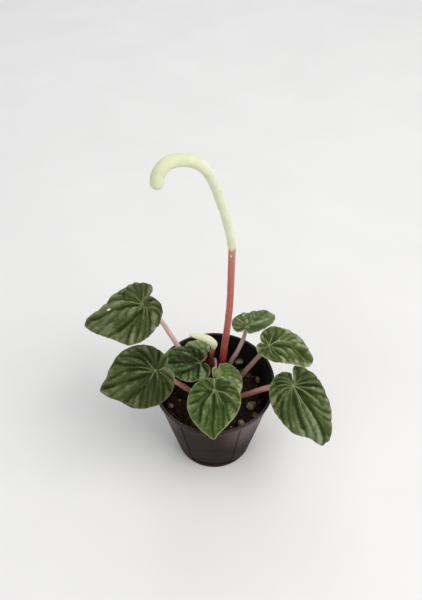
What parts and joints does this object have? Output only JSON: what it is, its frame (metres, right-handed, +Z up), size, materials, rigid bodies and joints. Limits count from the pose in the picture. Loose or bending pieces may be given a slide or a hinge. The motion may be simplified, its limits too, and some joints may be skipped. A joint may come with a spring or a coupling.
{
  "type": "ripple peperomia in a nursery pot",
  "caption": "Small potted ripple peperomia with heart-shaped corrugated leaves on pinkish stalks, a tall hooked cream flower spike and a young one, in a tapered plastic pot.",
  "frame": {"origin": "centre of the pot's flat base, on the surface it stands on", "axes": "+Z up along the pot's axis; -Y is the front, where the small pale-edged leaf hangs over the rim; +X is to the right seen from the front"},
  "size_m": [0.118, 0.0771, 0.1974],
  "materials": {
    "leaf_dark": "satin, rugose, dark green with grey sheen on the ridges",
    "leaf_fresh": "satin, fresher green with a pale margin",
    "petiole": "satin, fleshy, pink to reddish",
    "peduncle": "satin, fleshy, crimson at the base to tan at the top",
    "spadix": "matte, finely granular, cream-green",
    "crown": "matte, reddish brown",
    "pot": "satin black thin plastic",
    "soil": "rough dark granular peat",
    "pumice": "rough porous tan stone",
    "bark": "rough olive-brown chip"
  },
  "bodies": {
    "root": {"pot": "pot", "soil": "soil", "crown": "crown", "leaf_a": "leaf_dark", "leaf_b": "leaf_dark", "leaf_c": "leaf_fresh", "leaf_d": "leaf_fresh", "leaf_e": "leaf_fresh", "leaf_f": "leaf_dark", "leaf_g": "leaf_dark", "leaf_h": "leaf_dark", "leaf_i": "leaf_fresh", "petiole_a": "petiole", "petiole_b": "petiole", "petiole_c": "petiole", "petiole_d": "petiole", "petiole_e": "petiole", "petiole_f": "petiole", "petiole_g": "petiole", "petiole_h": "petiole", "petiole_i": "petiole", "tall_peduncle": "peduncle", "tall_spadix": "spadix", "young_peduncle": "peduncle", "young_spadix": "spadix", "pumice_1": "pumice", "pumice_2": "pumice", "pumice_3": "pumice", "pumice_4": "pumice", "pumice_5": "pumice", "pumice_6": "pumice", "bark_1": "bark", "bark_2": "bark"}
  },
  "joints": []
}
